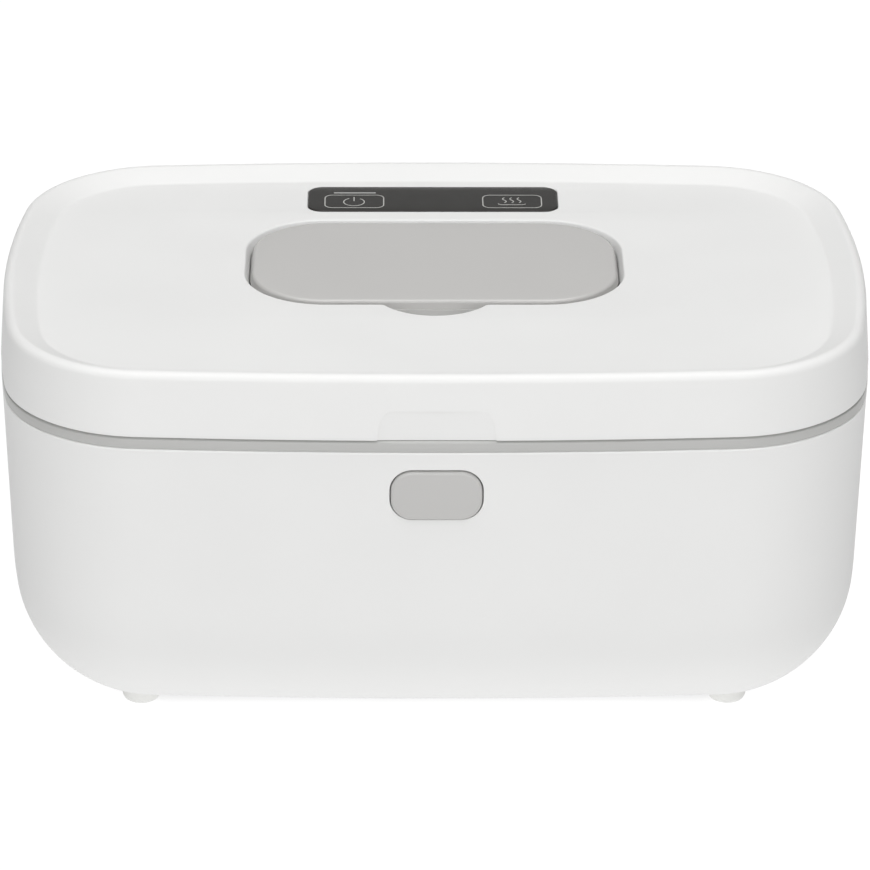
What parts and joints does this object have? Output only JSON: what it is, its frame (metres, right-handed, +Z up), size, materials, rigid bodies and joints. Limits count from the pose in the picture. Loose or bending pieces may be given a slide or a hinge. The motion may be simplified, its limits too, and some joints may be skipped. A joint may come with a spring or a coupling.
{
  "type": "baby wipe warmer",
  "caption": "Table-top baby wipe warmer: heated tub in a bowl-shaped base, hinged lid with touch panel, dispensing flip plate and release button.",
  "frame": {"origin": "on the table, under the middle of the body's outline; the hinge barrels at the back reach a little past the outline", "axes": "+X to the object's right seen from the front, +Y to the back where the hinge is, +Z up"},
  "size_m": [0.24, 0.1611, 0.1133],
  "materials": {
    "white_plastic": "satin white moulded plastic",
    "grey_plastic": "satin light grey moulded plastic",
    "plate_grey": "satin light grey moulded plastic",
    "tub_plastic": "white moulded plastic",
    "dark_gloss": "polished near-black panel with thin pale marks",
    "dark_plastic": "black moulded plastic",
    "white_rubber": "soft white rubber",
    "soft_seal": "soft pale grey silicone rubber",
    "foam": "pale closed-cell foam",
    "steel": "plain steel",
    "aluminium_sheet": "plain sheet",
    "brass_sheet": "plain spring sheet",
    "amber_film": "amber film with a printed track",
    "ceramic": "pale ceramic body",
    "board_green": "green circuit board",
    "lead_black": "black insulation",
    "lead_red": "red insulation",
    "lead_yellow": "yellow insulation",
    "light_guide": "clouded light guide"
  },
  "bodies": {
    "base": {"base_shell": "white_plastic", "base_cover": "white_plastic", "cover_screws": "steel", "foot_front_left": "white_rubber", "foot_front_right": "white_rubber", "foot_back_left": "white_rubber", "foot_back_right": "white_rubber", "trim_ring": "grey_plastic", "ring_screws": "steel", "wipe_tub": "tub_plastic", "heat_plate": "aluminium_sheet", "heater_film": "amber_film", "insulation_pad": "foam", "thermal_fuse": "ceramic", "temperature_sensor": "dark_plastic", "sensor_clip": "brass_sheet", "main_board": "board_green", "board_parts": "dark_plastic", "board_screws": "steel", "power_inlet": "dark_plastic", "inlet_nut": "steel", "inlet_lead": "lead_black", "heater_lead": "lead_red", "sensor_lead": "lead_yellow", "base_lead": "lead_black", "button_guide": "tub_plastic", "guide_screws": "steel", "hinge_pin_left": "steel", "hinge_pin_right": "steel", "button_spring": "steel"},
    "button": {"release_button": "grey_plastic", "latch_slider": "tub_plastic"},
    "lid": {"lid_shell": "white_plastic", "lid_liner": "tub_plastic", "liner_screws": "steel", "lid_gasket": "soft_seal", "lid_catch": "steel", "catch_screws": "steel", "dispense_insert": "soft_seal", "touch_lens": "dark_gloss", "touch_board": "board_green", "touch_screws": "steel", "touch_pads": "lead_black", "light_bar": "light_guide", "lid_lead": "lead_black", "flip_pin_left": "steel", "flip_pin_right": "steel"},
    "flip": {"flip_plate": "plate_grey", "flip_carrier": "tub_plastic", "flip_seal": "soft_seal"}
  },
  "joints": [
    {"name": "lid_hinge", "type": "hinge", "parent": "base", "child": "lid", "pos_m": [0, 0.079, 0.09525], "axis": [-1, 0, 0], "range_deg": [0, 95]},
    {"name": "flip_hinge", "type": "hinge", "parent": "lid", "child": "flip", "pos_m": [0, 0.02895, 0.1083], "axis": [-1, 0, 0], "range_deg": [0, 85]},
    {"name": "button_slide", "type": "slide", "parent": "base", "child": "button", "axis": [0, 1, 0], "range_m": [0, 0.0018], "stiffness_N_per_m": 900, "springref_m": -0.001, "deforming": ["button_spring"]}
  ]
}
